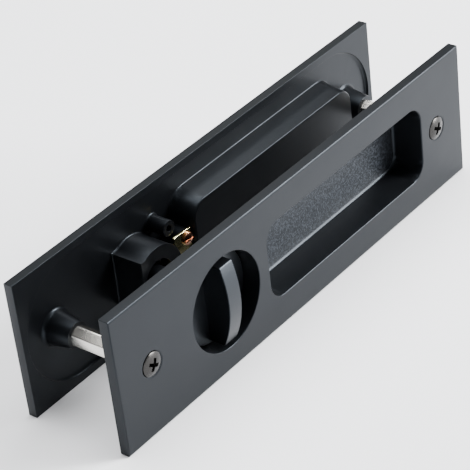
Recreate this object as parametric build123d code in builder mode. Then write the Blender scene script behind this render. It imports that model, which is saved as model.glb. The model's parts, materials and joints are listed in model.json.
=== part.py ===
from build123d import *
from math import cos, radians, sin, sqrt
import os

# Pocket door pull: two flush plates clamped on a sliding door, each with a finger recess,
# a turn with a lever in the front plate and a coin release in the rear plate.
# X runs along the plates, Y through the door from front to rear, Z up.
# The origin is at the middle of the outline, on the lower edge of the plates.

# Driving dimensions in millimetres and degrees

# Plates and door
plate_height = 64
plate_depth = 4.8
plate_edge = 0.5
door_thickness = 44

# Hollow in the back of each plate, inside a rim that lies on the door
back_rim = 3.6
back_end_rim = 2.6
back_hollow_depth = 1.5
back_hollow_foot = 1

# Finger recess, open to the outside
recess_length = 112.7
recess_height = 36
recess_corner = 8
recess_depth = 14.5
recess_draft = 7
recess_floor = 1.8
recess_wall = 1.8
recess_floor_edge = 1.5
recess_back_edge = 0.6
recess_foot = 0.8
recess_rim_edge = 0.5

# Lengthwise distances, from the near end of the plates to the far end
end_to_screw = 20
screw_to_turn = 47.2
turn_cup_to_recess = 6.9
recess_to_screw = 11.8

# Screws, bosses and hexagon posts between the plates
boss_foot_radius = 7.6
boss_draft = 8.7
front_boss_rise = 8
rear_boss_rise = 10.3
thread_radius = 2.45
thread_clearance = 0.05
screw_hole_radius = 2.8
screw_head_radius = 5.75
screw_head_dome = 1.3
countersink_radius = 6.1
countersink_angle = 90
screw_recess_length = 6
screw_recess_width = 1.1
screw_recess_depth = 1.7
screw_engagement = 10
post_flats = 8
post_front_gap = 1
post_front_bore_depth = 14
post_rear_bore_depth = 7
boss_bore_depth = 8.8
stud_end_gap = 0.4
screw_seat_gap = 0.05

# Turn: deep cup in the front plate, knob sunk in it with a bowed lever to the front
turn_cup_radius = 21.4
turn_cup_depth = 11
turn_cup_floor = 1.8
turn_cup_wall = 1.8
turn_cup_rim = 0.4
running_gap = 0.3
knob_sunk = 8
knob_edge = 0.5
lever_proud = 4.3
lever_width = 8.1
lever_bow_radius = 50
lever_apex_above = 2.4
lever_reach_up = 18.9
lever_reach_down = 19.5
lever_end_round = 0.8
lever_edge = 0.4
lever_foot = 2.4
hub_radius = 6.45
hub_running_fit = 0.05
hub_reach = 14.2
hub_groove_radius = 4.7
turn_travel = 90
stop_radius = 12
stop_lug_radius = 1.5
stop_lug_reach = 1.3
stop_rest_angle = -45

# Spindle, washers and the set screw
spindle_width = 5
spindle_fit = 0.05
spindle_front_depth = 1.6
spindle_rear_depth = 1
spindle_end_gap = 0.5
washer_thickness = 0.5
washer_radial_gap = 0.3
front_washer_radius = 9.5
set_screw_radius = 1.45
set_screw_sunk = 0.2
set_screw_rise = 15.6

# Release: housing cast on the rear plate, drum with a coin slot
housing_radius = 14.6
housing_bore_radius = 8.5
housing_rise = 14
housing_flat_reach = 9.9
housing_block_height = 25.4
housing_foot = 1
release_face_radius = 7
release_running_fit = 0.1
release_rim_wall = 1.2
release_hub_radius = 5
release_hub_rise = 17.6
release_drum_top = 8.2
release_drum_floor = 3
coin_slot_length = 11
coin_slot_width = 2
coin_slot_depth = 1.6

# Retaining plates and their screws
retaining_thickness = 1
small_thread_radius = 1.45
small_thread_length = 4.5
small_head_radius = 2.9
small_head_height = 1.8
small_head_edge = 0.6
small_slot_width = 0.7
small_slot_depth = 0.7
small_bore_depth = 5
retaining_hole_gap = 0.15
pad_radius = 4
front_pad_offset = 13
front_pad_rise = 12
fork_ring_radius = 9
fork_arm_width = 8.4
fork_arm_tip = 17.2
rear_pad_offset = 24.2
rear_pad_above = 4
rear_pad_below = 5
rear_retainer_start = 16.2
rear_retainer_end = 27.2
rear_retainer_above = 8.2
rear_retainer_below = 8
tongue_height = 7
tongue_overlap = 1.7
window_gap = 0.3
spare_post_radius = 3.6
spare_post_offset = 15.4
spare_post_above = 13.4
spare_post_foot = 1
spare_post_foot_slope = 45
spare_post_rise = 8.2
spare_post_hole_radius = 1.5
spare_post_hole_depth = 5

# Places worked out from the driving dimensions
screw_to_recess = screw_to_turn + turn_cup_radius + turn_cup_to_recess
screw_spacing = screw_to_recess + recess_length + recess_to_screw
plate_length = screw_spacing + 2 * end_to_screw
turn_x = screw_to_turn - screw_spacing / 2
recess_middle_x = screw_to_recess - screw_spacing / 2 + recess_length / 2
overall_depth = lever_proud + plate_depth + door_thickness + plate_depth
front_face = lever_proud - overall_depth / 2
front_back = front_face + plate_depth
rear_back = front_back + door_thickness
rear_face = rear_back + plate_depth
front_hollow = front_back - back_hollow_depth
rear_hollow = rear_back + back_hollow_depth
mid_height = plate_height / 2

front_boss_end = front_back + front_boss_rise
post_rear_end = rear_back - rear_boss_rise
post_front_end = front_boss_end + post_front_gap
screw_x_places = (-screw_spacing / 2, screw_spacing / 2)

cup_floor_front = front_face + turn_cup_depth
cup_floor_back = cup_floor_front + turn_cup_floor
knob_face = front_face + knob_sunk
knob_back = cup_floor_front - running_gap - washer_thickness
knob_radius = turn_cup_radius - running_gap
hub_end = front_back + hub_reach
front_retainer = front_back + front_pad_rise
groove_start = front_retainer - running_gap
groove_end = front_retainer + retaining_thickness + running_gap
spindle_front = knob_face + spindle_front_depth
spindle_rear = rear_back - spindle_rear_depth
socket_width = spindle_width + 2 * spindle_fit

drum_radius = housing_bore_radius - running_gap
drum_back = rear_hollow - running_gap - washer_thickness
drum_front = rear_back - release_drum_top
release_hub_end = rear_back - release_hub_rise
rear_retainer = drum_front - running_gap
set_screw_y = rear_back - set_screw_rise
release_hole_radius = release_face_radius + release_running_fit


def at_y(y):
    """Upright plane at y: sketches run X and Z, positive extrusions go to the front."""
    return Plane.XZ.offset(-y)


def lengthwise(x, z):
    """Plane through a turning axis at x, z: its sketches are profiles that run X and Y."""
    return Plane((x, 0, z), x_dir=(1, 0, 0), z_dir=(0, 0, 1))


def axis_at(x, z):
    """Axis through the door at x, z."""
    return Axis((x, 0, z), (0, 1, 0))


def plate_blank(face, inward):
    """Plate with its hollow back and the finger recess; inward is the way into the door."""
    back = face + inward * plate_depth
    hollow = back - inward * back_hollow_depth
    recess_bottom = face + inward * recess_depth
    recess_back = recess_bottom + inward * recess_floor
    with BuildPart() as blank:
        with BuildSketch(at_y(face)):
            with Locations((0, mid_height)):
                Rectangle(plate_length, plate_height)
        extrude(amount=-inward * plate_depth)
        outer_edges = blank.edges().filter_by_position(Axis.Y, face, face)
        chamfer(outer_edges, plate_edge)
        with BuildSketch(at_y(back)):
            with Locations((0, mid_height)):
                SlotOverall(plate_length - 2 * back_end_rim, plate_height - 2 * back_rim)
        extrude(amount=inward * back_hollow_depth, mode=Mode.SUBTRACT)
        chamfer(blank.edges().filter_by_position(Axis.Y, hollow, hollow), back_hollow_foot)
        with BuildSketch(at_y(hollow)):
            with Locations((recess_middle_x, mid_height)):
                RectangleRounded(
                    recess_length + 2 * recess_wall,
                    recess_height + 2 * recess_wall,
                    recess_corner + recess_wall,
                )
        extrude(amount=hollow - recess_back, taper=recess_draft)
        recess_foot_edges = blank.edges(Select.LAST).filter_by_position(Axis.Y, hollow, hollow)
        chamfer(recess_foot_edges, recess_foot)
        chamfer(blank.edges().filter_by_position(Axis.Y, recess_back, recess_back), recess_back_edge)
    return blank.part


def recess_space(face, inward):
    """The finger room that is taken out of a plate, with its bevelled floor edge."""
    bottom = face + inward * recess_depth
    with BuildPart() as space:
        with BuildSketch(at_y(face)):
            with Locations((recess_middle_x, mid_height)):
                RectangleRounded(recess_length, recess_height, recess_corner)
        extrude(amount=-inward * recess_depth, taper=recess_draft)
        chamfer(space.edges().filter_by_position(Axis.Y, bottom, bottom), recess_floor_edge)
    return space.part


def save(piece, name):
    """Label a finished piece and write it."""
    piece.part.label = name
    export_step(piece.part, f"parts/{name}.step")


os.makedirs("parts", exist_ok=True)

# Front plate
front_blank = plate_blank(front_face, 1)
front_recess = recess_space(front_face, 1)
stop_path = CenterArc((0, 0), stop_radius, stop_rest_angle - turn_travel, turn_travel)

with BuildPart() as front_plate:
    add(front_blank)
    with BuildSketch(at_y(front_hollow)):
        with Locations((turn_x, mid_height)):
            Circle(turn_cup_radius + turn_cup_wall)
    extrude(amount=front_hollow - cup_floor_back)
    with BuildSketch(at_y(front_hollow)):
        with Locations((0, mid_height)):
            with GridLocations(screw_spacing, 0, 2, 1):
                Circle(boss_foot_radius)
    extrude(amount=front_hollow - front_boss_end, taper=boss_draft)
    with BuildSketch(at_y(cup_floor_back)):
        with Locations((turn_x, mid_height)):
            with GridLocations(2 * front_pad_offset, 0, 2, 1):
                Circle(pad_radius)
    extrude(amount=cup_floor_back - front_retainer)
    add(front_recess, mode=Mode.SUBTRACT)
    with BuildSketch(at_y(front_face)):
        with Locations((turn_x, mid_height)):
            Circle(turn_cup_radius)
    extrude(amount=-turn_cup_depth, mode=Mode.SUBTRACT)
    with BuildSketch(at_y(cup_floor_front)):
        with Locations((turn_x, mid_height)):
            Circle(hub_radius + hub_running_fit)
            SlotArc(stop_path, 2 * (stop_lug_radius + running_gap))
    extrude(amount=-turn_cup_floor, mode=Mode.SUBTRACT)
    with BuildSketch(at_y(front_retainer)):
        with Locations((turn_x, mid_height)):
            with GridLocations(2 * front_pad_offset, 0, 2, 1):
                Circle(small_thread_radius + thread_clearance)
    extrude(amount=small_bore_depth, mode=Mode.SUBTRACT)
    with Locations(Plane((0, front_face, mid_height), x_dir=(1, 0, 0), z_dir=(0, -1, 0))):
        with GridLocations(screw_spacing, 0, 2, 1):
            CounterSinkHole(screw_hole_radius, countersink_radius, counter_sink_angle=countersink_angle)
    opening_edges = front_plate.edges().filter_by_position(Axis.Y, front_face, front_face)
    recess_edges = opening_edges.filter_by_position(
        Axis.X, turn_x + turn_cup_radius, recess_middle_x + recess_length / 2
    )
    chamfer(recess_edges, recess_rim_edge)
    round_edges = front_plate.edges().filter_by(GeomType.CIRCLE)
    face_edges = round_edges.filter_by_position(Axis.Y, front_face, front_face)
    chamfer(face_edges.filter_by(lambda edge: edge.radius == turn_cup_radius), turn_cup_rim)

save(front_plate, "front_plate")

# Rear plate
rear_blank = plate_blank(rear_face, -1)
rear_recess = recess_space(rear_face, -1)
housing_left_x = turn_x - housing_flat_reach
rear_pad_x = turn_x + rear_pad_offset
rear_pad_upper_z = mid_height + rear_pad_above
rear_pad_lower_z = mid_height - rear_pad_below
rear_pad_places = ((rear_pad_x, rear_pad_upper_z), (rear_pad_x, rear_pad_lower_z))
rear_retainer_bottom_z = mid_height - rear_retainer_below
rear_retainer_left_x = turn_x + rear_retainer_start
spare_post_x = turn_x + spare_post_offset
spare_post_z = mid_height + spare_post_above
tongue_tip_x = turn_x + drum_radius - tongue_overlap
tongue_middle_z = rear_retainer_bottom_z + tongue_height / 2

with BuildPart() as rear_plate:
    add(rear_blank)
    with BuildSketch(at_y(rear_hollow)):
        with Locations((0, mid_height)):
            with GridLocations(screw_spacing, 0, 2, 1):
                Circle(boss_foot_radius)
    extrude(amount=rear_hollow - post_rear_end, taper=boss_draft)
    with BuildSketch(at_y(rear_hollow)):
        with Locations((turn_x, mid_height)):
            Circle(housing_radius)
        with Locations((housing_left_x, mid_height)):
            Rectangle(housing_flat_reach, housing_block_height, align=(Align.MIN, Align.CENTER))
        with Locations((housing_left_x, mid_height)):
            Rectangle(housing_radius, plate_height, align=(Align.MAX, Align.CENTER), mode=Mode.SUBTRACT)
    extrude(amount=rear_hollow - (rear_back - housing_rise))
    housing_foot_edges = rear_plate.edges(Select.LAST).filter_by_position(Axis.Y, rear_hollow, rear_hollow)
    chamfer(housing_foot_edges, housing_foot)
    with BuildSketch(at_y(rear_hollow)):
        with Locations(*rear_pad_places):
            Circle(pad_radius)
    extrude(amount=rear_hollow - rear_retainer)
    with BuildSketch(at_y(rear_hollow)):
        with Locations((spare_post_x, spare_post_z)):
            Circle(spare_post_radius)
    extrude(amount=rear_hollow - (rear_back - spare_post_rise))
    with BuildSketch(at_y(rear_hollow)):
        with Locations((spare_post_x, spare_post_z)):
            Circle(spare_post_radius + spare_post_foot)
    extrude(amount=spare_post_foot, taper=spare_post_foot_slope)
    add(rear_recess, mode=Mode.SUBTRACT)
    with BuildSketch(at_y(rear_hollow)):
        with Locations((turn_x, mid_height)):
            Circle(housing_bore_radius)
    extrude(amount=rear_hollow - (rear_back - housing_rise), mode=Mode.SUBTRACT)
    with BuildSketch(at_y(rear_face)):
        with Locations((turn_x, mid_height)):
            Circle(release_hole_radius)
    extrude(amount=plate_depth, mode=Mode.SUBTRACT)
    with BuildSketch(at_y(rear_back - housing_rise)):
        with Locations((turn_x, tongue_middle_z)):
            Rectangle(
                rear_pad_x - turn_x, tongue_height + 2 * window_gap, align=(Align.MIN, Align.CENTER)
            )
    extrude(amount=rear_back - housing_rise - drum_front, mode=Mode.SUBTRACT)
    with BuildSketch(at_y(rear_retainer)):
        with Locations(*rear_pad_places):
            Circle(small_thread_radius + thread_clearance)
    extrude(amount=-small_bore_depth, mode=Mode.SUBTRACT)
    with BuildSketch(at_y(rear_back - spare_post_rise)):
        with Locations((spare_post_x, spare_post_z)):
            Circle(spare_post_hole_radius)
    extrude(amount=-spare_post_hole_depth, mode=Mode.SUBTRACT)
    with BuildSketch(at_y(post_rear_end)):
        with Locations((0, mid_height)):
            with GridLocations(screw_spacing, 0, 2, 1):
                Circle(thread_radius + thread_clearance)
    extrude(amount=-boss_bore_depth, mode=Mode.SUBTRACT)
    opening_edges = rear_plate.edges().filter_by_position(Axis.Y, rear_face, rear_face)
    recess_edges = opening_edges.filter_by_position(
        Axis.X, turn_x + turn_cup_radius, recess_middle_x + recess_length / 2
    )
    chamfer(recess_edges, recess_rim_edge)

save(rear_plate, "rear_plate")

# Turn knob: sunk disc, lever with a bowed back, hub with a groove and a square socket
apex = front_face - lever_proud
apex_z = mid_height + lever_apex_above
lever_top_z = mid_height + lever_reach_up
lever_bottom_z = mid_height - lever_reach_down
lever_top_y = apex + lever_bow_radius - sqrt(lever_bow_radius**2 - (lever_top_z - apex_z) ** 2)
lever_bottom_y = apex + lever_bow_radius - sqrt(lever_bow_radius**2 - (apex_z - lever_bottom_z) ** 2)
lug_x = turn_x + stop_radius * cos(radians(stop_rest_angle))
lug_z = mid_height + stop_radius * sin(radians(stop_rest_angle))

with BuildPart() as turn_knob:
    with BuildSketch(at_y(knob_back)):
        with Locations((turn_x, mid_height)):
            Circle(knob_radius)
    extrude(amount=knob_back - knob_face)
    chamfer(turn_knob.edges().filter_by_position(Axis.Y, knob_face, knob_face), knob_edge)
    with BuildSketch(Plane.YZ.offset(turn_x - lever_width / 2)):
        with BuildLine():
            low_end = (lever_bottom_y, lever_bottom_z)
            high_end = (lever_top_y, lever_top_z)
            ThreePointArc(low_end, (apex, apex_z), high_end)
            Polyline(high_end, (knob_back, lever_top_z), (knob_back, lever_bottom_z), low_end)
        lever_profile = make_face()
        fillet(lever_profile.vertices().group_by(Axis.X)[0:2], lever_end_round)
    extrude(amount=lever_width)
    chamfer(turn_knob.edges().group_by(Axis.Y)[0], lever_edge)
    with BuildSketch(lengthwise(turn_x, lever_bottom_z + lever_edge)):
        with BuildLine():
            foot_start = (-lever_width / 2 - lever_foot, knob_face)
            foot_end = (-lever_width / 2, knob_face - lever_foot)
            TangentArc(foot_start, foot_end, tangent=(1, 0))
            Polyline(foot_end, (0, foot_end[1]), (0, knob_face), foot_start)
        make_face()
        mirror(about=Plane.YZ)
    extrude(amount=lever_top_z - lever_bottom_z - 2 * lever_edge)
    with BuildSketch(at_y(knob_back)):
        with Locations((turn_x, mid_height)):
            Circle(hub_radius)
    extrude(amount=knob_back - hub_end)
    with BuildSketch(at_y(knob_back)):
        with Locations((lug_x, lug_z)):
            Circle(stop_lug_radius)
    extrude(amount=knob_back - cup_floor_front - stop_lug_reach)
    with BuildSketch(at_y(groove_start)):
        with Locations((turn_x, mid_height)):
            Circle(2 * hub_radius)
            Circle(hub_groove_radius, mode=Mode.SUBTRACT)
    extrude(amount=groove_start - groove_end, mode=Mode.SUBTRACT)
    with BuildSketch(at_y(hub_end)):
        with Locations((turn_x, mid_height)):
            Rectangle(socket_width, socket_width)
    extrude(amount=hub_end - spindle_front + spindle_end_gap, mode=Mode.SUBTRACT)

save(turn_knob, "turn_knob")

# Release turn: coin face, drum behind the plate and hub that holds the spindle
with BuildPart() as release_turn:
    with BuildSketch(at_y(rear_face)):
        with Locations((turn_x, mid_height)):
            Circle(release_face_radius)
    extrude(amount=rear_face - drum_back)
    with BuildSketch(at_y(drum_back)):
        with Locations((turn_x, mid_height)):
            Circle(drum_radius)
    extrude(amount=drum_back - drum_front)
    with BuildSketch(at_y(drum_front)):
        with Locations((turn_x, mid_height)):
            Circle(drum_radius - release_rim_wall)
    extrude(amount=drum_front - drum_back + release_drum_floor, mode=Mode.SUBTRACT)
    with BuildSketch(at_y(drum_back)):
        with Locations((turn_x, mid_height)):
            Circle(release_hub_radius)
    extrude(amount=drum_back - release_hub_end)
    with BuildSketch(at_y(rear_face)):
        with Locations((turn_x, mid_height)):
            Rectangle(coin_slot_width, coin_slot_length)
    extrude(amount=coin_slot_depth, mode=Mode.SUBTRACT)
    with BuildSketch(at_y(release_hub_end)):
        with Locations((turn_x, mid_height)):
            Rectangle(socket_width, socket_width)
    extrude(amount=release_hub_end - spindle_rear - spindle_end_gap, mode=Mode.SUBTRACT)
    with BuildSketch(Plane.XY.offset(mid_height)):
        with Locations((turn_x, set_screw_y)):
            Circle(set_screw_radius + thread_clearance)
    extrude(amount=-2 * release_hub_radius, mode=Mode.SUBTRACT)

save(release_turn, "release_turn")

# Square spindle through both hubs, and the set screw that holds it in the release
with BuildPart() as turn_spindle:
    with BuildSketch(at_y(spindle_rear)):
        with Locations((turn_x, mid_height)):
            Rectangle(spindle_width, spindle_width)
    extrude(amount=spindle_rear - spindle_front)

save(turn_spindle, "turn_spindle")

with BuildPart() as spindle_set_screw:
    with BuildSketch(Plane.XY.offset(mid_height - spindle_width / 2)):
        with Locations((turn_x, set_screw_y)):
            Circle(set_screw_radius)
    extrude(amount=spindle_width / 2 + set_screw_sunk - release_hub_radius)

save(spindle_set_screw, "spindle_set_screw")


def friction_washer(start, inner_radius, outer_radius):
    """Flat ring on the turning axis, from start towards the front."""
    with BuildPart() as washer:
        with BuildSketch(at_y(start)):
            with Locations((turn_x, mid_height)):
                Circle(outer_radius)
                Circle(inner_radius, mode=Mode.SUBTRACT)
        extrude(amount=washer_thickness)
    return washer


front_friction_washer = friction_washer(
    knob_back + washer_thickness, hub_radius + washer_radial_gap, front_washer_radius
)
save(front_friction_washer, "front_friction_washer")

rear_friction_washer = friction_washer(
    drum_back + washer_thickness, release_face_radius + washer_radial_gap, drum_radius
)
save(rear_friction_washer, "rear_friction_washer")

# Front retaining plate: fork in the groove of the knob's hub
with BuildPart() as front_retaining_plate:
    with BuildSketch(at_y(front_retainer + retaining_thickness)):
        with Locations((turn_x, mid_height)):
            SlotOverall(2 * fork_arm_tip, fork_arm_width)
            Circle(fork_ring_radius)
            Circle(hub_groove_radius + running_gap, mode=Mode.SUBTRACT)
            Rectangle(
                2 * (hub_groove_radius + running_gap),
                fork_ring_radius,
                align=(Align.CENTER, Align.MAX),
                mode=Mode.SUBTRACT,
            )
            with GridLocations(2 * front_pad_offset, 0, 2, 1):
                Circle(small_thread_radius + retaining_hole_gap, mode=Mode.SUBTRACT)
    extrude(amount=retaining_thickness)

save(front_retaining_plate, "front_retaining_plate")

# Rear retaining plate: its tongue reaches through the housing's window over the drum's rim
with BuildPart() as rear_retaining_plate:
    with BuildSketch(at_y(rear_retainer)):
        with Locations((rear_retainer_left_x, rear_retainer_bottom_z)):
            Rectangle(
                rear_retainer_end - rear_retainer_start,
                rear_retainer_above + rear_retainer_below,
                align=(Align.MIN, Align.MIN),
            )
            Rectangle(rear_retainer_left_x - tongue_tip_x, tongue_height, align=(Align.MAX, Align.MIN))
        with Locations(*rear_pad_places):
            Circle(small_thread_radius + retaining_hole_gap, mode=Mode.SUBTRACT)
    extrude(amount=retaining_thickness)

save(rear_retaining_plate, "rear_retaining_plate")


def retaining_screw(x, z, seat, outward):
    """Slotted pan-head screw; seat is where its head lies, outward the way to its head."""
    head_top = seat + outward * small_head_height
    with BuildPart() as screw:
        with BuildSketch(at_y(seat)):
            with Locations((x, z)):
                Circle(small_head_radius)
        extrude(amount=-outward * small_head_height)
        chamfer(screw.edges().filter_by_position(Axis.Y, head_top, head_top), small_head_edge)
        with BuildSketch(at_y(seat)):
            with Locations((x, z)):
                Circle(small_thread_radius)
        extrude(amount=outward * small_thread_length)
        with BuildSketch(at_y(head_top)):
            with Locations((x, z)):
                Rectangle(2 * small_head_radius, small_slot_width)
        extrude(amount=outward * small_slot_depth, mode=Mode.SUBTRACT)
    return screw


front_screw_seat = front_retainer + retaining_thickness
rear_screw_seat = rear_retainer - retaining_thickness
retaining_screws = {
    "front_retaining_screw_left": (turn_x - front_pad_offset, mid_height, front_screw_seat, 1),
    "front_retaining_screw_right": (turn_x + front_pad_offset, mid_height, front_screw_seat, 1),
    "rear_retaining_screw_upper": (rear_pad_x, rear_pad_upper_z, rear_screw_seat, -1),
    "rear_retaining_screw_lower": (rear_pad_x, rear_pad_lower_z, rear_screw_seat, -1),
}
for screw_name, screw_place in retaining_screws.items():
    save(retaining_screw(*screw_place), screw_name)

# Hexagon posts, their studs and the fixing screws, near end first
screw_head_drop = countersink_radius - screw_head_radius - screw_seat_gap
screw_head_edge = front_face + screw_head_drop
screw_neck = screw_head_edge + screw_head_radius - thread_radius
screw_tip = post_front_end + screw_engagement


def hex_post(x):
    """Hexagon post with a corner up, threaded at both ends."""
    with BuildPart() as post:
        with BuildSketch(at_y(post_rear_end)):
            with Locations((x, mid_height)):
                RegularPolygon(post_flats / 2, 6, major_radius=False, rotation=90)
        extrude(amount=post_rear_end - post_front_end)
        with BuildSketch(at_y(post_front_end)):
            with Locations((x, mid_height)):
                Circle(thread_radius + thread_clearance)
        extrude(amount=-post_front_bore_depth, mode=Mode.SUBTRACT)
        with BuildSketch(at_y(post_rear_end)):
            with Locations((x, mid_height)):
                Circle(thread_radius + thread_clearance)
        extrude(amount=post_rear_bore_depth, mode=Mode.SUBTRACT)
    return post


def post_stud(x):
    """Headless stud that holds a post on its boss."""
    with BuildPart() as stud:
        with BuildSketch(at_y(post_rear_end + boss_bore_depth - stud_end_gap)):
            with Locations((x, mid_height)):
                Circle(thread_radius)
        extrude(amount=boss_bore_depth + post_rear_bore_depth - 2 * stud_end_gap)
    return stud


def fixing_screw(x):
    """Oval countersunk screw with a cross recess, its head in the front plate."""
    with BuildPart() as screw:
        with BuildSketch(lengthwise(x, mid_height)):
            with BuildLine():
                crown = (0, screw_head_edge - screw_head_dome)
                head_edge = (screw_head_radius, screw_head_edge)
                Polyline(
                    head_edge,
                    (thread_radius, screw_neck),
                    (thread_radius, screw_tip),
                    (0, screw_tip),
                    crown,
                )
                TangentArc(crown, head_edge, tangent=(1, 0))
            make_face()
        revolve(axis=axis_at(x, mid_height))
        with BuildSketch(at_y(screw_head_edge - screw_head_dome)):
            with Locations((x, mid_height)):
                Rectangle(screw_recess_length, screw_recess_width, rotation=45)
                Rectangle(screw_recess_width, screw_recess_length, rotation=45)
        extrude(amount=-screw_recess_depth - screw_head_dome, mode=Mode.SUBTRACT)
    return screw


for end_name, end_x in zip(("near", "far"), screw_x_places):
    save(hex_post(end_x), f"hex_post_{end_name}")
    save(post_stud(end_x), f"post_stud_{end_name}")
    save(fixing_screw(end_x), f"fixing_screw_{end_name}")
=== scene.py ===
"""Dresses the pocket door pull: coated castings, bright posts, plated screws and the photo stage.

Lengths are metres. X runs along the plates, Y through the door from the plate with the turn
to the plate with the release, Z up. The pull stands on the floor at Z = 0.
"""

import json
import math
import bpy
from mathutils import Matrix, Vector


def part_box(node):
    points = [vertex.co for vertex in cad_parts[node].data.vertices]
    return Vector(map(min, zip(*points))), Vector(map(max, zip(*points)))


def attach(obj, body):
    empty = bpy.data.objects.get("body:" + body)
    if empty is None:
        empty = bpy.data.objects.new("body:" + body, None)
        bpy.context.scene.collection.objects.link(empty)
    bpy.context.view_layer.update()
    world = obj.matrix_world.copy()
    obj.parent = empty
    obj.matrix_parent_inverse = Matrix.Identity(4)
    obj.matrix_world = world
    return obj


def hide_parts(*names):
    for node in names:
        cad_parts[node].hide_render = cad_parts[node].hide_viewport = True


bl_info = {
    "name": "Pocket door pull",
    "version": (1, 0, 0),
    "blender": (4, 5, 0),
    "location": "View3D > Sidebar > Door pull",
    "description": "Models and finishes the pieces of a pocket door pull on its packed frame",
    "category": "Object",
}

import bpy
from mathutils import Matrix, Vector

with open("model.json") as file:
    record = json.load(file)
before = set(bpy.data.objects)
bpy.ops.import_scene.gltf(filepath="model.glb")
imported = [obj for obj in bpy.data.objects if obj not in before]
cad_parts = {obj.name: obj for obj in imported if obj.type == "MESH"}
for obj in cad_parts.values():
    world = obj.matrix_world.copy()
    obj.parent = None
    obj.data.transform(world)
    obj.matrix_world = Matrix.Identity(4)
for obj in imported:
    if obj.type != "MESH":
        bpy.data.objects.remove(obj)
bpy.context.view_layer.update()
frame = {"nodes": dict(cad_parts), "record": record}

MM = 0.001
PLATES = "plates"
TURN = "turn"
QUARTER_TURN = math.pi / 2

FRONT_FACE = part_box("front_plate")[0].y
REAR_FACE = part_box("rear_plate")[1].y
DOOR_MIDDLE = (FRONT_FACE + REAR_FACE) / 2
MID_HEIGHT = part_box("front_plate")[1].z / 2

# Floors of the finger recesses: their middle along X, their half sizes, their distance from the door's
# middle, and how near to it a surface counts as the floor
RECESS_MIDDLE = 31.85 * MM
RECESS_HALF_LENGTH = 53 * MM
RECESS_HALF_HEIGHT = 15 * MM
RECESS_DEPTH = 14.5 * MM
RECESS_FLOOR = (REAR_FACE - FRONT_FACE) / 2 - RECESS_DEPTH
RECESS_REACH = 0.5 * MM

# Screw bosses: their number on a plate, their distance from its middle, their radius at the foot, the
# edges that a foot has at least, and how far the hollow's floor, on which they stand, is from a plate's face
BOSSES = 2
BOSS_PLACE = 100 * MM
BOSS_RADIUS = 7.6 * MM
BOSS_EDGES = 24
HOLLOW_WALL = 3.3 * MM
FRONT_HOLLOW = FRONT_FACE + HOLLOW_WALL
REAR_HOLLOW = REAR_FACE - HOLLOW_WALL

# The turn's axis, and the room beside its lever that the cast foot fills: out from the axis, Y and Z
TURN_AXIS = -52.8 * MM
KNOB_FACE = FRONT_FACE + 8 * MM
LEVER_FOOT = (
    Vector((4.05 * MM, KNOB_FACE - 2.5 * MM, MID_HEIGHT - 20 * MM)),
    Vector((6.55 * MM, KNOB_FACE, MID_HEIGHT + 19.5 * MM)),
)

# Vertices nearer than this are one, also after a cut; faces flatter than this to each other are one; an
# edge this near to the circle of a boss's foot belongs to it
JOIN_DISTANCE = 0.002 * MM
CUT_JOIN_DISTANCE = 0.02 * MM
FLAT_ANGLE = math.radians(0.5)
FOOT_REACH = 10 * JOIN_DISTANCE

# Faces that meet at more than this angle meet at a sharp edge
SHARP_ANGLE = math.radians(50)
SCREW_SHARP_ANGLE = math.radians(40)
POST_SHARP_ANGLE = math.radians(35)
KNOB_SHARP_ANGLE = math.radians(30)

# Chamfers at the ends of threads, roundings of small edges, and the crown of a retaining screw
THREAD_CHAMFER = 0.5 * MM
SMALL_THREAD_CHAMFER = 0.4 * MM
HEAD_EDGE = 0.08 * MM
SMALL_HEAD_EDGE = 0.1 * MM
WASHER_EDGE = 0.08 * MM
SMALL_CROWN = 0.9 * MM

# How far outside the metal a cutter starts, and the cross recess's floor as a share of its mouth
CROSS_START = 0.4 * MM
SLOT_START = 0.3 * MM
DRILL_START = 1 * MM
CROSS_FLOOR = 0.55

# Stage: the floor's size and its gap under the pull, and the camera's sensor in millimetres
FLOOR_SIZE = 8
FLOOR_GAP = 0.1 * MM
SENSOR_WIDTH = 36.0

# Lights: name, place, size, and the setting that holds the power
LIGHTS = (
    ("key light", (0.15, 0.25, 1.2), 1.2, "key"),
    ("front light", (1.71, -1.46, 1.52), 0.9, "front"),
    ("low panel", (1.39, -1.75, 0.46), 0.9, "low_panel"),
    ("back light", (0.95, 0.85, 0.85), 0.5, "back"),
)


def linear(hex_colour):
    """Linear colour, with alpha, of an sRGB hex value."""
    parts = [int(hex_colour[i : i + 2], 16) / 255 for i in (1, 3, 5)]
    low = [value / 12.92 for value in parts]
    high = [((value + 0.055) / 1.055) ** 2.4 for value in parts]
    return tuple(a if value <= 0.04045 else b for value, a, b in zip(parts, low, high)) + (1.0,)


def colour_property(name, description, hex_colour):
    """Colour setting with its default as an sRGB hex value."""
    return bpy.props.FloatVectorProperty(
        name=name,
        description=description,
        default=linear(hex_colour),
        size=4,
        min=0.0,
        max=1.0,
        subtype="COLOR",
    )


def length_property(name, description, millimetres):
    """Length setting with its default in millimetres."""
    return bpy.props.FloatProperty(
        name=name, description=description, default=millimetres * MM, min=0.0, unit="LENGTH", precision=5
    )


def strength_property(name, description, strength):
    """Light setting with its default strength or power."""
    return bpy.props.FloatProperty(name=name, description=description, default=strength, min=0.0)


class PullFinishes(bpy.types.PropertyGroup):
    """Colours of the finishes."""

    coating: colour_property("Coating", "Black coating of the castings", "#090a0c")
    turn_coating: colour_property("Turn coating", "Black coating of the turn and the release", "#090a0c")
    # Colour of the lighter specks on the recess floors: painted glints of the grit
    grit_and_glint: colour_property("Grain", "Lighter grains on the floors of the finger recesses", "#2b2e33")
    post: colour_property("Posts", "Bright zinc of the hexagon posts", "#f4f1ea")
    yellow_zinc: colour_property("Yellow zinc", "Passivated zinc of the retaining plates", "#e4dba2")
    copper: colour_property("Copper", "Copper plating of the retaining screws", "#8a6450")
    nickel: colour_property("Nickel", "Dark nickel of the fixing screws", "#353433")
    steel: colour_property("Steel", "Plain steel of the spindle and studs", "#a6a6a4")
    nylon: colour_property("Nylon", "Friction washers", "#d8d6cc")


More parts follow.
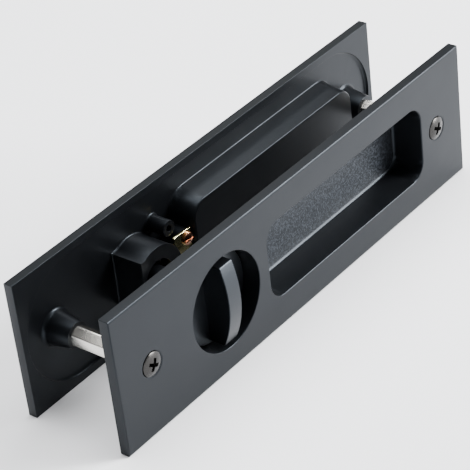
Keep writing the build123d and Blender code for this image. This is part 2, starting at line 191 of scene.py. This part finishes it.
class PullHardware(bpy.types.PropertyGroup):
    """Sizes of what is shaped here."""

    casting_edge: length_property("Casting edge", "Rounding of the castings' sharp edges", 0.35)
    boss_foot: length_property("Boss foot", "Fillet at the foot of the screw bosses", 1.6)
    sheet_edge: length_property("Sheet edge", "Rounding of the retaining plates' edges", 0.12)
    spindle_edge: length_property("Spindle edge", "Rounding of the drawn spindle's edges", 0.3)
    post_corner: length_property("Post corner", "Rounding of the posts' long corners", 0.25)
    post_end: length_property("Post end", "Length of the turned chamfer at a post's ends", 0.7)
    post_bore: length_property("Post bore", "Radius of the threaded holes in a post's ends", 2.5)
    post_front_bore: length_property("Front bore depth", "Depth of the hole for the fixing screw", 14.0)
    post_rear_bore: length_property("Rear bore depth", "Depth of the hole for the stud", 7.0)
    screw_thread: length_property("Thread radius", "Radius of the fixing screws' threads", 2.45)
    head_gap: length_property("Head gap", "Dark ring between a fixing screw's head and its seat", 0.45)
    head_dome: length_property("Head dome", "Rise of the fixing screws' domed heads", 1.1)
    cross_length: length_property("Cross length", "Tip to tip length of the cross recess", 6.4)
    cross_width: length_property("Cross width", "Width of one wing of the cross recess", 1.7)
    cross_depth: length_property("Cross depth", "Depth of the cross recess", 2.4)
    cross_turn: bpy.props.FloatProperty(
        name="Cross turn",
        description="How the cross recesses are turned",
        default=math.radians(28),
        subtype="ANGLE",
    )
    small_head: length_property("Small head", "Radius of the retaining screws' heads", 2.9)
    small_rise: length_property("Small head rise", "Height of the retaining screws' heads", 1.8)
    small_thread: length_property("Small thread", "Radius of the retaining screws' threads", 1.45)
    small_slot_width: length_property("Slot width", "Width of the retaining screws' slots", 0.7)
    small_slot_depth: length_property("Slot depth", "Depth of the retaining screws' slots", 0.7)


class PullStage(bpy.types.PropertyGroup):
    """Camera, floor and lights."""

    camera_place: bpy.props.FloatVectorProperty(
        name="Camera place",
        description="Where the camera stands",
        default=(-0.5551, -0.47585, 0.5006),
        subtype="TRANSLATION",
        unit="LENGTH",
    )
    heading: bpy.props.FloatProperty(
        name="Heading",
        description="Direction of view round the vertical, from +X",
        default=math.radians(41.399),
        subtype="ANGLE",
    )
    tilt: bpy.props.FloatProperty(
        name="Tilt",
        description="Tilt of the view above the horizon",
        default=math.radians(-32.939),
        subtype="ANGLE",
    )
    roll: bpy.props.FloatProperty(
        name="Roll",
        description="Roll of the camera about its view",
        default=math.radians(-7.045),
        subtype="ANGLE",
    )
    lens: bpy.props.FloatProperty(
        name="Lens", description="Focal length on a 36 mm wide sensor, in millimetres", default=158.0, min=1.0
    )
    floor: colour_property("Floor", "Pale floor", "#f0f1f4")
    sky: strength_property("Sky", "Strength of the soft light from all round", 0.25)
    key: strength_property("Key light", "Watts of the large light overhead", 38.0)
    front: strength_property("Front light", "Watts of the high light at the right, before the pull", 180.0)
    low_panel: strength_property("Low panel", "Watts of the low light at the right, before the pull", 115.0)
    back: strength_property("Back light", "Watts of the light at the right, behind the pull", 1.0)


def add_node(tree, kind, inputs, **settings):
    """Add a node, set its properties, give its sockets values or links, and return its outputs."""
    made = tree.nodes.new(kind)
    for key, value in settings.items():
        setattr(made, key, value)
    for socket, source in inputs.items():
        if isinstance(source, bpy.types.NodeSocket):
            tree.links.new(source, made.inputs[socket])
        else:
            made.inputs[socket].default_value = source
    return made.outputs


def new_material(name, **shader):
    """Material with one principled shader; returns the material, its tree, shader and coordinates."""
    material = bpy.data.materials.new(name)
    material.use_nodes = True
    tree = material.node_tree
    body = tree.nodes["Principled BSDF"]
    for key, value in shader.items():
        body.inputs[key.replace("_", " ")].default_value = value
    place = add_node(tree, "ShaderNodeTexCoord", {})["Object"]
    return material, tree, body, place


def coated_casting(name, colour, shine):
    """Black satin coating on a zinc die casting.

    Sprayed film: an even satin sheen, cool in its highlights, with a faint orange peel. The floors
    of the finger recesses keep the sandy grain of the blasted mould as a bump, and lighter specks
    on that grit are painted glints.
    """
    material, tree, body, place = new_material(
        name,
        Base_Color=colour,
        Roughness=0.34,
        IOR=1.5,
        Specular_IOR_Level=shine,
        Specular_Tint=linear("#d0e0f0"),
    )
    # Share of the floors of both recesses: 1 on them and 0 elsewhere
    shift = {"Vector": place, "Location": (-RECESS_MIDDLE, -DOOR_MIDDLE, -MID_HEIGHT)}
    centred = add_node(tree, "ShaderNodeMapping", shift)["Vector"]
    off = add_node(tree, "ShaderNodeVectorMath", {0: centred}, operation="ABSOLUTE")["Vector"]
    axes = add_node(tree, "ShaderNodeSeparateXYZ", {"Vector": off})
    length = {0: axes["X"], 1: RECESS_HALF_LENGTH}
    height = {0: axes["Z"], 1: RECESS_HALF_HEIGHT}
    depth = {0: axes["Y"], 1: RECESS_FLOOR, 2: RECESS_REACH}
    in_length = add_node(tree, "ShaderNodeMath", length, operation="LESS_THAN")["Value"]
    in_height = add_node(tree, "ShaderNodeMath", height, operation="LESS_THAN")["Value"]
    in_depth = add_node(tree, "ShaderNodeMath", depth, operation="COMPARE")["Value"]
    outline = add_node(tree, "ShaderNodeMath", {0: in_length, 1: in_height}, operation="MULTIPLY")["Value"]
    floor = add_node(tree, "ShaderNodeMath", {0: outline, 1: in_depth}, operation="MULTIPLY")["Value"]

    # Real blasting grit is finer: 0.8 mm is the least that shows at the photo's distance
    grit = {"Vector": place, "Scale": 1 / (0.8 * MM), "Detail": 2.0, "Roughness": 0.7}
    grit_and_glint = add_node(tree, "ShaderNodeTexNoise", grit)["Fac"]
    # Lighter colour where the grit noise peaks on the recess floors: painted glints of the grit. The same
    # noise also gives the grit its real bump below
    peaks = {"Value": grit_and_glint, "From Min": 0.45, "From Max": 0.65}
    tips = add_node(tree, "ShaderNodeMapRange", peaks)["Result"]
    glint_specks = add_node(tree, "ShaderNodeMath", {0: tips, 1: floor}, operation="MULTIPLY")["Value"]
    colours = {0: glint_specks, 6: colour, 7: bpy.context.scene.pull_finishes.grit_and_glint}
    mixed = add_node(tree, "ShaderNodeMix", colours, data_type="RGBA")[2]
    tree.links.new(mixed, body.inputs["Base Color"])

    # The film's thickness wanders over about 14 mm, and its orange peel over 0.9 mm
    wander = {"Vector": place, "Scale": 1 / (14 * MM), "Detail": 2.0, "Roughness": 0.5}
    film = add_node(tree, "ShaderNodeTexNoise", wander)["Fac"]
    sheen = {"Value": film, "From Min": 0.3, "From Max": 0.7, "To Min": 0.3, "To Max": 0.38}
    tree.links.new(add_node(tree, "ShaderNodeMapRange", sheen)["Result"], body.inputs["Roughness"])
    grains = {"Height": grit_and_glint, "Strength": floor, "Distance": 0.1 * MM}
    sandy = add_node(tree, "ShaderNodeBump", grains)["Normal"]
    dimples = {"Vector": place, "Scale": 1 / (0.9 * MM), "Detail": 2.0, "Roughness": 0.5}
    peel = add_node(tree, "ShaderNodeTexNoise", dimples)["Fac"]
    film_bump = {"Height": peel, "Normal": sandy, "Strength": 0.2, "Distance": 0.02 * MM}
    tree.links.new(add_node(tree, "ShaderNodeBump", film_bump)["Normal"], body.inputs["Normal"])
    return material


def worked_metal(name, colour, roughness, line_mm, stretch):
    """Plated steel: a bright metal whose fine drawing or turning lines streak its highlights."""
    material, tree, body, place = new_material(name, Base_Color=colour, Metallic=1.0, Roughness=roughness)
    laid = add_node(tree, "ShaderNodeMapping", {"Vector": place, "Scale": stretch})["Vector"]
    marks = {"Vector": laid, "Scale": 1 / (line_mm * MM), "Detail": 3.0, "Roughness": 0.6}
    lines = add_node(tree, "ShaderNodeTexNoise", marks)["Fac"]
    sheen = {"Value": lines, "To Min": roughness * 0.7, "To Max": roughness * 1.4}
    tree.links.new(add_node(tree, "ShaderNodeMapRange", sheen)["Result"], body.inputs["Roughness"])
    relief = {"Height": lines, "Strength": 0.25, "Distance": 0.02 * MM}
    tree.links.new(add_node(tree, "ShaderNodeBump", relief)["Normal"], body.inputs["Normal"])
    return material


def moulded_nylon(name, colour):
    """Natural nylon, moulded: milky and slightly see-deep, with a soft sheen and faint mottling."""
    material, tree, body, place = new_material(
        name, Base_Color=colour, Roughness=0.45, IOR=1.53, Subsurface_Weight=0.15, Subsurface_Scale=0.5 * MM
    )
    clouds = {"Vector": place, "Scale": 1 / (1.5 * MM), "Detail": 2.0, "Roughness": 0.5}
    mottle = add_node(tree, "ShaderNodeTexNoise", clouds)["Fac"]
    colours = {0: mottle, 6: colour, 7: linear("#c9c5b6")}
    tree.links.new(add_node(tree, "ShaderNodeMix", colours, data_type="RGBA")[2], body.inputs["Base Color"])
    relief = {"Height": mottle, "Strength": 0.2, "Distance": 0.02 * MM}
    tree.links.new(add_node(tree, "ShaderNodeBump", relief)["Normal"], body.inputs["Normal"])
    return material


def matt_paint(name, colour):
    """Rolled matt paint of the floor: chalky and even, with the roller's shallow texture."""
    material, tree, body, place = new_material(name, Base_Color=colour, Roughness=0.9, Specular_IOR_Level=0.2)
    roller = {"Vector": place, "Scale": 1 / (3.0 * MM), "Detail": 3.0, "Roughness": 0.5}
    nap = add_node(tree, "ShaderNodeTexNoise", roller)["Fac"]
    relief = {"Height": nap, "Strength": 0.1, "Distance": 0.05 * MM}
    tree.links.new(add_node(tree, "ShaderNodeBump", relief)["Normal"], body.inputs["Normal"])
    chalk = {"Value": nap, "To Min": 0.85, "To Max": 0.95}
    tree.links.new(add_node(tree, "ShaderNodeMapRange", chalk)["Result"], body.inputs["Roughness"])
    return material


def finish(slot):
    """Material of a slot of the record, made the first time that it is asked for."""
    colours = bpy.context.scene.pull_finishes
    # Drawing lines run along Y, and small turned and pressed pieces have even marks
    drawn = (1.0, 0.06, 1.0)
    even = (1.0, 1.0, 1.0)
    makers = {
        "black_coated_zinc": (coated_casting, "black coating on die-cast zinc", colours.coating, 0.2),
        "black_coated_turn": (coated_casting, "black coating on the cast turn", colours.turn_coating, 0.34),
        # Bare steel: greyer and duller than the plated pieces
        "spindle_steel": (worked_metal, "plain drawn steel", colours.steel, 0.35, 0.4, drawn),
        # Yellow passivation over zinc: a pale brassy glint at the edges
        "yellow_zinc_steel": (worked_metal, "yellow passivated zinc", colours.yellow_zinc, 0.14, 0.6, even),
        # Thin copper over steel: warm and brownish, with broken highlights
        "coppered_steel": (worked_metal, "copper-plated steel", colours.copper, 0.22, 0.5, even),
        # Bright zinc: near white, each flat of the post with a tone of its own
        "bright_zinc_steel": (worked_metal, "bright zinc on drawn steel", colours.post, 0.22, 0.4, drawn),
        # Dark nickel: smoky grey domes with soft reflections
        "dark_nickel_steel": (worked_metal, "dark nickel on steel", colours.nickel, 0.26, 0.4, even),
        "nylon": (moulded_nylon, "moulded nylon", colours.nylon),
    }
    maker, name, *values = makers[slot]
    made = bpy.data.materials.get(name)
    if made is None:
        made = maker(name, *values)
    return made


def pick(piece):
    """Make a piece the only selected and active object."""
    bpy.ops.object.select_all(action="DESELECT")
    piece.select_set(True)
    bpy.context.view_layer.objects.active = piece


def settle(piece):
    """Put a piece's place into its mesh, with its faces pointing outwards."""
    pick(piece)
    bpy.ops.object.transform_apply(location=True, rotation=True, scale=True)
    bpy.ops.object.mode_set(mode="EDIT")
    bpy.ops.mesh.select_all(action="SELECT")
    bpy.ops.mesh.normals_make_consistent(inside=False)
    bpy.ops.object.mode_set(mode="OBJECT")


def put_in_order(piece):
    """Put a mesh's vertices and faces in the order of their places.

    Extrude leaves them in another order each time, and then cuts and merged faces differ too.
    """
    mixed = piece.data
    places = [tuple(vertex.co) for vertex in mixed.vertices]
    order = sorted(range(len(places)), key=places.__getitem__)
    rank = {old: new for new, old in enumerate(order)}
    faces = []
    for face in mixed.polygons:
        corners = [rank[index] for index in face.vertices]
        start = corners.index(min(corners))
        faces.append(corners[start:] + corners[:start])
    piece.data = bpy.data.meshes.new(piece.name)
    piece.data.from_pydata([places[old] for old in order], [], sorted(faces))
    bpy.data.meshes.remove(mixed)


def modify(piece, kind, **settings):
    """Add a modifier to a piece and apply it."""
    pick(piece)
    modifier = piece.modifiers.new(kind.lower(), kind)
    for key, value in settings.items():
        setattr(modifier, key, value)
    bpy.ops.object.modifier_apply(modifier=modifier.name)


def shade(piece, sharp_angle):
    """Shade a piece's curves smooth and its flats flat."""
    pick(piece)
    bpy.ops.object.shade_smooth_by_angle(angle=sharp_angle)
    modify(piece, "WEIGHTED_NORMAL", keep_sharp=True, weight=100)


def round_edges(piece, width, sharp_angle=SHARP_ANGLE, segments=3):
    """Round a piece's sharp edges and shade it."""
    modify(
        piece,
        "BEVEL",
        width=width,
        segments=segments,
        limit_method="ANGLE",
        angle_limit=sharp_angle,
        miter_outer="MITER_ARC",
    )
    shade(piece, SHARP_ANGLE)


def dress(piece, node, body, slot):
    """Let a piece stand for a CAD node on its body, with the finish of the slot."""
    piece.data.materials.clear()
    piece.data.materials.append(finish(slot))
    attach(piece, body)
    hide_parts(node)


def weld(piece, distance):
    """Join vertices nearer than the distance, and triangles that lie flat beside each other."""
    pick(piece)
    bpy.ops.object.mode_set(mode="EDIT")
    bpy.ops.mesh.select_all(action="SELECT")
    bpy.ops.mesh.remove_doubles(threshold=distance)
    bpy.ops.mesh.dissolve_limited(angle_limit=FLAT_ANGLE)
    bpy.ops.object.mode_set(mode="OBJECT")


def merged_copy(node):
    """Copy of a CAD node with its triangles joined into faces."""
    mesh = frame["nodes"][node].data.copy()
    mesh.materials.clear()
    piece = bpy.data.objects.new(f"{node}_finished", mesh)
    bpy.context.collection.objects.link(piece)
    weld(piece, JOIN_DISTANCE)
    return piece


def soft_copy(node, width):
    """Merged copy of a CAD node with its sharp edges rounded."""
    piece = merged_copy(node)
    round_edges(piece, width)
    return piece


def moved_copy(piece, name, along_x=0.0, along_z=0.0):
    """Copy of a piece, with its own mesh, moved along X and Z."""
    mesh = piece.data.copy()
    copy = bpy.data.objects.new(name, mesh)
    bpy.context.collection.objects.link(copy)
    mesh.transform(Matrix.Translation((along_x, 0, along_z)))
    return copy


def lathe(name, middle, outline, segments=48):
    """Round solid on an axis along Y: a disc drawn out and widened from step to step."""
    radius, depth = outline[0]
    bpy.ops.object.select_all(action="DESELECT")
    bpy.ops.mesh.primitive_circle_add(
        vertices=segments,
        radius=radius,
        fill_type="NGON",
        location=(middle[0], depth, middle[1]),
        rotation=(QUARTER_TURN, 0, 0),
    )
    piece = bpy.context.object
    piece.name = name
    piece.data.name = name
    bpy.ops.object.mode_set(mode="EDIT")
    bpy.ops.mesh.select_all(action="SELECT")
    for next_radius, next_depth in outline[1:]:
        bpy.ops.mesh.extrude_region_move(TRANSFORM_OT_translate={"value": (0, next_depth - depth, 0)})
        wider = next_radius / radius
        bpy.ops.transform.resize(value=(wider, 1, wider), center_override=(middle[0], next_depth, middle[1]))
        radius, depth = next_radius, next_depth
    bpy.ops.object.mode_set(mode="OBJECT")
    settle(piece)
    put_in_order(piece)
    return piece


def cut(piece, tool, operation="DIFFERENCE"):
    """Cut a piece with a tool, or keep what they share, and take the tool away."""
    modify(piece, "BOOLEAN", object=tool, operation=operation, solver="EXACT")
    bpy.data.objects.remove(tool, do_unlink=True)
    weld(piece, CUT_JOIN_DISTANCE)


def dome(radius, rise, rim_depth, rows):
    """Outline of a domed head from its flat tip to its rim, each point a radius and a depth."""
    ball = (radius**2 + rise**2) / (2 * rise)
    opening = math.asin(radius / ball)
    angles = [opening * row / rows for row in range(1, rows + 1)]
    return [
        (ball * math.sin(angle), rim_depth - rise + ball * (1 - math.cos(angle))) for angle in angles
    ]


def wing(middle, top, length, width, depth, turn, bottom):
    """Tapered wing that cuts one slot of a recess; bottom is the share of its mouth left at its floor."""
    bpy.ops.object.select_all(action="DESELECT")
    bpy.ops.mesh.primitive_cube_add(
        size=1, location=(middle[0], top + depth / 2, middle[1]), scale=(length, abs(depth), width)
    )
    tool = bpy.context.object
    bpy.ops.object.mode_set(mode="EDIT")
    bpy.ops.mesh.select_mode(type="FACE")
    bpy.ops.mesh.select_all(action="DESELECT")
    bpy.ops.object.mode_set(mode="OBJECT")
    inward = 1 if depth > 0 else -1
    for face in tool.data.polygons:
        face.select = face.normal.y * inward > 0.5
    bpy.ops.object.mode_set(mode="EDIT")
    bpy.ops.transform.resize(value=(bottom, 1, bottom), center_override=(middle[0], top + depth, middle[1]))
    bpy.ops.object.mode_set(mode="OBJECT")
    tool.rotation_euler = (0, turn, 0)
    settle(tool)
    return tool


def fillet_boss_feet(plate, depth, width):
    """Round the inner corner where each screw boss stands on the hollow's floor at the depth."""
    pick(plate)
    bpy.ops.object.mode_set(mode="EDIT")
    bpy.ops.mesh.select_mode(type="EDGE")
    bpy.ops.mesh.select_all(action="DESELECT")
    bpy.ops.object.mode_set(mode="OBJECT")
    for edge in plate.data.edges:
        ends = [plate.data.vertices[index].co for index in edge.vertices]
        out = [math.hypot(abs(end.x) - BOSS_PLACE, end.z - MID_HEIGHT) for end in ends]
        edge.select = all(
            abs(end.y - depth) < JOIN_DISTANCE and abs(far - BOSS_RADIUS) < FOOT_REACH
            for end, far in zip(ends, out)
        )
    if sum(edge.select for edge in plate.data.edges) < BOSSES * BOSS_EDGES:
        raise RuntimeError("the feet of the bosses were not found")
    bpy.ops.object.mode_set(mode="EDIT")
    bpy.ops.mesh.bevel(offset=width, segments=4, affect="EDGES")
    bpy.ops.object.mode_set(mode="OBJECT")


def foot_block(side):
    """Block over the cast foot at one side of the turn's lever, whose corner looks sharp."""
    low, high = LEVER_FOOT
    bpy.ops.object.select_all(action="DESELECT")
    bpy.ops.mesh.primitive_cube_add(
        size=1,
        location=(TURN_AXIS + side * (low.x + high.x) / 2, (low.y + high.y) / 2, (low.z + high.z) / 2),
        scale=high - low,
    )
    block = bpy.context.object
    settle(block)
    return block


class PULL_OT_castings(bpy.types.Operator):
    """Finish the four castings: both plates, the turn knob and the release."""

    bl_idname = "pull.castings"
    bl_label = "Castings"

    def execute(self, context):
        """Round the edges of the castings but the knob, which only loses its foot, and coat them."""
        edge = context.scene.pull_hardware.casting_edge
        for node, depth in (("front_plate", FRONT_HOLLOW), ("rear_plate", REAR_HOLLOW)):
            plate = merged_copy(node)
            fillet_boss_feet(plate, depth, context.scene.pull_hardware.boss_foot)
            round_edges(plate, edge)
            dress(plate, node, PLATES, "black_coated_zinc")
        knob = merged_copy("turn_knob")
        for side in (-1, 1):
            cut(knob, foot_block(side))
        shade(knob, KNOB_SHARP_ANGLE)
        dress(knob, "turn_knob", TURN, "black_coated_turn")
        dress(soft_copy("release_turn", edge / 2), "release_turn", TURN, "black_coated_turn")
        return {"FINISHED"}


class PULL_OT_posts(bpy.types.Operator):
    """Model the hexagon posts, with turned chamfers and drilled ends."""

    bl_idname = "pull.posts"
    bl_label = "Hexagon posts"

    def execute(self, context):
        """Make one post and copy it to the far end."""
        sizes = context.scene.pull_hardware
        low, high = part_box("hex_post_near")
        middle = ((low.x + high.x) / 2, MID_HEIGHT)
        corner = (high.z - low.z) / 2
        flat = (high.x - low.x) / 2
        bpy.ops.object.select_all(action="DESELECT")
        bpy.ops.mesh.primitive_circle_add(
            vertices=6,
            radius=corner,
            fill_type="NGON",
            location=(middle[0], low.y, middle[1]),
            rotation=(QUARTER_TURN, 0, 0),
        )
        post = context.object
        post.name = "hex_post_near_finished"
        bpy.ops.object.mode_set(mode="EDIT")
        bpy.ops.mesh.select_all(action="SELECT")
        bpy.ops.mesh.extrude_region_move(TRANSFORM_OT_translate={"value": (0, high.y - low.y, 0)})
        bpy.ops.object.mode_set(mode="OBJECT")
        settle(post)
        put_in_order(post)
        if max(vertex.co.z for vertex in post.data.vertices) < high.z - sizes.post_corner:
            raise RuntimeError("the post has no corner up")
        bpy.ops.object.mode_set(mode="EDIT")
        bpy.ops.mesh.select_mode(type="EDGE")
        bpy.ops.mesh.select_all(action="DESELECT")
        bpy.ops.object.mode_set(mode="OBJECT")
        corners = post.data.vertices
        for edge in post.data.edges:
            ends = [corners[index].co.y for index in edge.vertices]
            edge.select = abs(ends[0] - ends[1]) > corner
        bpy.ops.object.mode_set(mode="EDIT")
        bpy.ops.mesh.bevel(offset=sizes.post_corner, segments=3, affect="EDGES")
        bpy.ops.object.mode_set(mode="OBJECT")
        # Turning takes off what stands out of this: chamfers at both ends, and room between them
        room = 2 * corner
        turned = lathe(
            "turned_room",
            middle,
            (
                (flat, low.y),
                (flat + sizes.post_end, low.y + sizes.post_end),
                (room, low.y + sizes.post_end),
                (room, high.y - sizes.post_end),
                (flat + sizes.post_end, high.y - sizes.post_end),
                (flat, high.y),
            ),
            segments=64,
        )
        cut(post, turned, "INTERSECT")
        bore = sizes.post_bore
        front = ((bore, low.y - DRILL_START), (bore, low.y + sizes.post_front_bore))
        rear = ((bore, high.y - sizes.post_rear_bore), (bore, high.y + DRILL_START))
        cut(post, lathe("front_drill", middle, front))
        cut(post, lathe("rear_drill", middle, rear))
        pick(post)
        bpy.ops.object.shade_smooth_by_angle(angle=POST_SHARP_ANGLE)
        far = moved_copy(post, "hex_post_far_finished", -2 * middle[0])
        dress(post, "hex_post_near", PLATES, "bright_zinc_steel")
        dress(far, "hex_post_far", PLATES, "bright_zinc_steel")
        return {"FINISHED"}


class PULL_OT_fixing_screws(bpy.types.Operator):
    """Model the fixing screws: oval countersunk heads with a cross recess."""

    bl_idname = "pull.fixing_screws"
    bl_label = "Fixing screws"

    def execute(self, context):
        """Make one screw and copy it to the far end."""
        sizes = context.scene.pull_hardware
        low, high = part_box("fixing_screw_near")
        middle = ((low.x + high.x) / 2, MID_HEIGHT)
        head = (high.x - low.x) / 2 - sizes.head_gap
        rim = low.y + sizes.head_dome
        neck = rim + head - sizes.screw_thread
        thread = sizes.screw_thread
        outline = dome(head, sizes.head_dome, rim, rows=8)
        outline += [(thread, neck), (thread, high.y - THREAD_CHAMFER), (thread - THREAD_CHAMFER, high.y)]
        screw = lathe("fixing_screw_near_finished", middle, outline, segments=64)
        for quarter in (0, 1):
            tool = wing(
                middle,
                low.y - CROSS_START,
                sizes.cross_length,
                sizes.cross_width,
                sizes.cross_depth + CROSS_START,
                turn=sizes.cross_turn + quarter * QUARTER_TURN,
                bottom=CROSS_FLOOR,
            )
            cut(screw, tool)
        round_edges(screw, HEAD_EDGE, SCREW_SHARP_ANGLE, segments=2)
        far = moved_copy(screw, "fixing_screw_far_finished", -2 * middle[0])
        dress(screw, "fixing_screw_near", PLATES, "dark_nickel_steel")
        dress(far, "fixing_screw_far", PLATES, "dark_nickel_steel")
        return {"FINISHED"}


class PULL_OT_retaining_screws(bpy.types.Operator):
    """Model the slotted pan-head screws of the retaining plates."""

    bl_idname = "pull.retaining_screws"
    bl_label = "Retaining screws"

    def execute(self, context):
        """Make one screw for each plate and copy it beside."""
        sizes = context.scene.pull_hardware
        pairs = (
            ("front_retaining_screw_left", "front_retaining_screw_right", -1),
            ("rear_retaining_screw_upper", "rear_retaining_screw_lower", 1),
        )
        for first, second, inward in pairs:
            low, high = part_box(first)
            middle = ((low.x + high.x) / 2, (low.z + high.z) / 2)
            top = low.y if inward > 0 else high.y
            tip = high.y if inward > 0 else low.y
            seat = top + inward * sizes.small_rise
            crown = dome(sizes.small_head, SMALL_CROWN, SMALL_CROWN, rows=6)
            outline = [(radius, top + inward * depth) for radius, depth in crown]
            outline += [
                (sizes.small_head, seat),
                (sizes.small_thread, seat),
                (sizes.small_thread, tip - inward * SMALL_THREAD_CHAMFER),
                (sizes.small_thread - SMALL_THREAD_CHAMFER, tip),
            ]
            screw = lathe(f"{first}_finished", middle, outline, segments=40)
            # The slot is longer than the head is wide, so it runs out at both sides
            slot = wing(
                middle,
                top - inward * SLOT_START,
                3 * sizes.small_head,
                sizes.small_slot_width,
                inward * (sizes.small_slot_depth + SLOT_START),
                turn=0,
                bottom=1.0,
            )
            cut(screw, slot)
            round_edges(screw, SMALL_HEAD_EDGE, SCREW_SHARP_ANGLE, segments=2)
            other_low, other_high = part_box(second)
            other_middle = ((other_low.x + other_high.x) / 2, (other_low.z + other_high.z) / 2)
            other = moved_copy(
                screw, f"{second}_finished", other_middle[0] - middle[0], other_middle[1] - middle[1]
            )
            dress(screw, first, PLATES, "coppered_steel")
            dress(other, second, PLATES, "coppered_steel")
        return {"FINISHED"}


class PULL_OT_sheet_pieces(bpy.types.Operator):
    """Finish the retaining plates, the spindle and the friction washers."""

    bl_idname = "pull.sheet_pieces"
    bl_label = "Retaining plates and spindle"

    def execute(self, context):
        """Round their edges and give them their finishes."""
        sizes = context.scene.pull_hardware
        for node in ("front_retaining_plate", "rear_retaining_plate"):
            dress(soft_copy(node, sizes.sheet_edge), node, PLATES, "yellow_zinc_steel")
        dress(soft_copy("turn_spindle", sizes.spindle_edge), "turn_spindle", TURN, "spindle_steel")
        for node in ("front_friction_washer", "rear_friction_washer"):
            dress(soft_copy(node, WASHER_EDGE), node, TURN, "nylon")
        return {"FINISHED"}


class PULL_OT_finish_nodes(bpy.types.Operator):
    """Give the CAD nodes that stay their materials."""

    bl_idname = "pull.finish_nodes"
    bl_label = "Finish the nodes"

    def execute(self, context):
        """Assign a material to each node by its slot in the record."""
        for part in frame["record"]["subparts"]:
            slots = frame["nodes"][part["node"]].data.materials
            slots.clear()
            slots.append(finish(part["material_slot"]))
        return {"FINISHED"}


def area_light(name, place, target, size, power):
    """Square soft light at place, turned to target."""
    bpy.ops.object.light_add(type="AREA", location=place)
    lamp = bpy.context.object
    lamp.name = name
    lamp.data.size = size
    lamp.data.energy = power
    lamp.rotation_euler = (Vector(target) - Vector(place)).to_track_quat("-Z", "Y").to_euler()
    return lamp


class PULL_OT_stage(bpy.types.Operator):
    """Set up the floor, the lights and the camera."""

    bl_idname = "pull.stage"
    bl_label = "Stage"

    def execute(self, context):
        """Make the stage from its settings."""
        stage = context.scene.pull_stage
        bpy.ops.mesh.primitive_plane_add(size=FLOOR_SIZE, location=(0, 0, -FLOOR_GAP))
        floor = context.object
        floor.name = "floor"
        floor.data.materials.append(matt_paint("matt floor paint", stage.floor))

        world = bpy.data.worlds.new("soft studio")
        context.scene.world = world
        world.use_nodes = True
        backdrop = world.node_tree.nodes["Background"]
        backdrop.inputs["Color"].default_value = linear("#ffffff")
        backdrop.inputs["Strength"].default_value = stage.sky
        for name, place, size, power in LIGHTS:
            area_light(name, place, (0, 0, MID_HEIGHT), size, getattr(stage, power))

        lens = bpy.data.cameras.new("photo camera")
        lens.lens = stage.lens
        lens.sensor_width = SENSOR_WIDTH
        camera = bpy.data.objects.new("photo camera", lens)
        context.collection.objects.link(camera)
        ahead = Vector(
            (
                math.cos(stage.tilt) * math.cos(stage.heading),
                math.cos(stage.tilt) * math.sin(stage.heading),
                math.sin(stage.tilt),
            )
        )
        level = ahead.cross(Vector((0, 0, 1))).normalized()
        upright = level.cross(ahead)
        right = math.cos(stage.roll) * level + math.sin(stage.roll) * upright
        up = math.cos(stage.roll) * upright - math.sin(stage.roll) * level
        turn = Matrix((right, up, -ahead)).transposed().to_4x4()
        camera.matrix_world = Matrix.Translation(stage.camera_place) @ turn
        context.scene.camera = camera
        return {"FINISHED"}


class PULL_PT_panel(bpy.types.Panel):
    """Panel that lists the steps."""

    bl_label = "Door pull"
    bl_idname = "PULL_PT_panel"
    bl_space_type = "VIEW_3D"
    bl_region_type = "UI"
    bl_category = "Door pull"

    def draw(self, context):
        """Draw a button for each step."""
        for step in STEPS:
            self.layout.operator(step.bl_idname)


SETTINGS = (
    ("pull_finishes", PullFinishes),
    ("pull_hardware", PullHardware),
    ("pull_stage", PullStage),
)
STEPS = (
    PULL_OT_finish_nodes,
    PULL_OT_castings,
    PULL_OT_posts,
    PULL_OT_fixing_screws,
    PULL_OT_retaining_screws,
    PULL_OT_sheet_pieces,
    PULL_OT_stage,
)


def register():
    """Register the settings, the steps and the panel."""
    for name, group in SETTINGS:
        bpy.utils.register_class(group)
        setattr(bpy.types.Scene, name, bpy.props.PointerProperty(type=group))
    for step in STEPS + (PULL_PT_panel,):
        bpy.utils.register_class(step)


def unregister():
    """Take out what register added."""
    for step in reversed(STEPS + (PULL_PT_panel,)):
        bpy.utils.unregister_class(step)
    for name, group in reversed(SETTINGS):
        delattr(bpy.types.Scene, name)
        bpy.utils.unregister_class(group)


def main():
    """Make every piece and the stage."""
    register()
    bpy.ops.pull.finish_nodes()
    bpy.ops.pull.castings()
    bpy.ops.pull.posts()
    bpy.ops.pull.fixing_screws()
    bpy.ops.pull.retaining_screws()
    bpy.ops.pull.sheet_pieces()
    bpy.ops.pull.stage()


if __name__ == "__main__":
    main()
